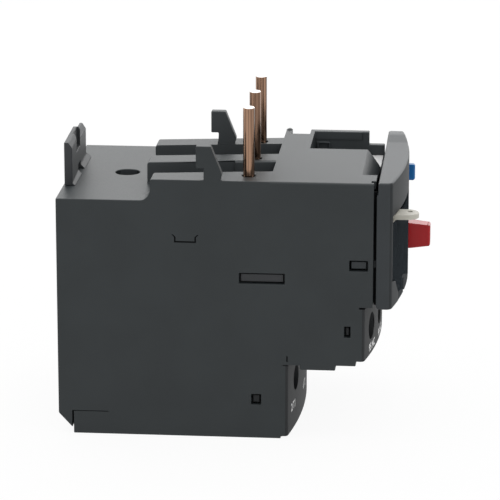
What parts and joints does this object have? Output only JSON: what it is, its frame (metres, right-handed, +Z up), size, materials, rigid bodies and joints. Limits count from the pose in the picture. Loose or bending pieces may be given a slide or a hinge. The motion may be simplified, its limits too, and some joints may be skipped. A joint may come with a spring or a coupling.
{
  "type": "thermal overload relay",
  "caption": "Plug-on thermal overload relay: bimetals behind round plug pins trip a contact carrier; hinged clear cover over a setting dial, stop key and turning reset knob.",
  "frame": {"origin": "centre of the bounding box in plan, on the plane of the foot", "axes": "+Z up along the plug pins, -Y towards the operator's face with the buttons, +X towards the buttons' side"},
  "size_m": [0.045, 0.072, 0.0658],
  "materials": {
    "housing_plastic": "satin moulded dark slate",
    "bezel_plastic": "satin moulded dark slate",
    "deck_plastic": "satin dark grey",
    "frame_plastic": "satin dark grey",
    "zinc_plated_steel": "zinc plated",
    "contact_brass": "plain",
    "copper": "drawn copper",
    "ivory_plastic": "plain moulded",
    "spring_steel": "drawn wire",
    "clear_plastic": "clear",
    "dial_plastic": "light grey",
    "red_plastic": "gloss red",
    "blue_plastic": "gloss blue",
    "flag_plastic": "green",
    "bimetal_steel": "rolled strip",
    "heater_alloy": "heat tinted ribbon"
  },
  "bodies": {
    "base": {"housing": "housing_plastic", "foot_cover": "housing_plastic", "power_terminal_block": "housing_plastic", "auxiliary_terminal_block": "housing_plastic", "top_cap": "housing_plastic", "rear_hook_plate": "housing_plastic", "front_bezel": "bezel_plastic", "control_deck": "deck_plastic", "mechanism_frame": "frame_plastic", "power_clamp_cages": "zinc_plated_steel", "power_terminal_screws": "zinc_plated_steel", "auxiliary_screws": "zinc_plated_steel", "auxiliary_washers": "zinc_plated_steel", "normally_closed_strips": "contact_brass", "normally_open_strips": "contact_brass", "load_conductors": "copper", "lever_pivot_pin": "spring_steel", "cover_hinge_rod": "spring_steel", "stop_spring": "spring_steel", "reset_spring": "spring_steel", "plug_pin_1": "copper", "bimetal_strip_1": "bimetal_steel", "heater_winding_1": "heater_alloy", "plug_pin_2": "copper", "bimetal_strip_2": "bimetal_steel", "heater_winding_2": "heater_alloy", "plug_pin_3": "copper", "bimetal_strip_3": "bimetal_steel", "heater_winding_3": "heater_alloy"},
    "cover": {"clear_cover": "clear_plastic"},
    "dial": {"setting_dial": "dial_plastic", "dial_cam": "dial_plastic"},
    "stop": {"stop_button": "red_plastic"},
    "plunger": {"reset_plunger": "ivory_plastic"},
    "knob": {"reset_knob": "blue_plastic"},
    "test": {"test_button": "red_plastic"},
    "slider": {"trip_slider": "ivory_plastic", "return_slider": "ivory_plastic"},
    "lever": {"trip_lever": "ivory_plastic"},
    "carrier": {"contact_carrier": "ivory_plastic", "closed_contact_bridge": "contact_brass", "open_contact_bridge": "contact_brass"},
    "flag": {"trip_flag": "flag_plastic"}
  },
  "joints": [
    {"name": "cover_hinge", "type": "hinge", "parent": "base", "child": "cover", "pos_m": [-0.0034, -0.03035, 0.0282], "axis": [1, 0, 0], "range_deg": [0, 90]},
    {"name": "dial_turn", "type": "hinge", "parent": "base", "child": "dial", "pos_m": [-0.0073, -0.02615, 0.0397], "axis": [0, -1, 0], "range_deg": [-140, 140]},
    {"name": "stop_push", "type": "slide", "parent": "base", "child": "stop", "axis": [0, 1, 0], "range_m": [0, 0.0014], "stiffness_N_per_m": 400, "springref_m": -0.001, "deforming": ["stop_spring"]},
    {"name": "reset_push", "type": "slide", "parent": "base", "child": "plunger", "axis": [0, 1, 0], "range_m": [0, 0.0015], "stiffness_N_per_m": 400, "springref_m": -0.001, "deforming": ["reset_spring"]},
    {"name": "reset_turn", "type": "hinge", "parent": "plunger", "child": "knob", "pos_m": [0.0143, -0.02905, 0.04565], "axis": [0, -1, 0], "range_deg": [0, 90]},
    {"name": "test_push", "type": "slide", "parent": "base", "child": "test", "axis": [0, 1, 0], "range_m": [0, 0.0012], "stiffness_N_per_m": 300, "springref_m": -0.001},
    {"name": "slider_travel", "type": "slide", "parent": "base", "child": "slider", "axis": [1, 0, 0], "range_m": [0, 0.0012]},
    {"name": "lever_turn", "type": "hinge", "parent": "base", "child": "lever", "pos_m": [0.0188, -0.00005, 0.026], "axis": [0, 0, 1], "range_deg": [-7.64, 0]},
    {"name": "carrier_shift", "type": "slide", "parent": "base", "child": "carrier", "axis": [0, 1, 0], "range_m": [0, 0.0012]},
    {"name": "flag_shift", "type": "slide", "parent": "base", "child": "flag", "axis": [1, 0, 0], "range_m": [0, 0.0024]}
  ],
  "couplings": [
    {"joint": "lever_turn", "follows": "slider_travel", "rad_per_m": -111.11},
    {"joint": "carrier_shift", "follows": "slider_travel", "ratio": 1},
    {"joint": "flag_shift", "follows": "slider_travel", "ratio": 2}
  ]
}
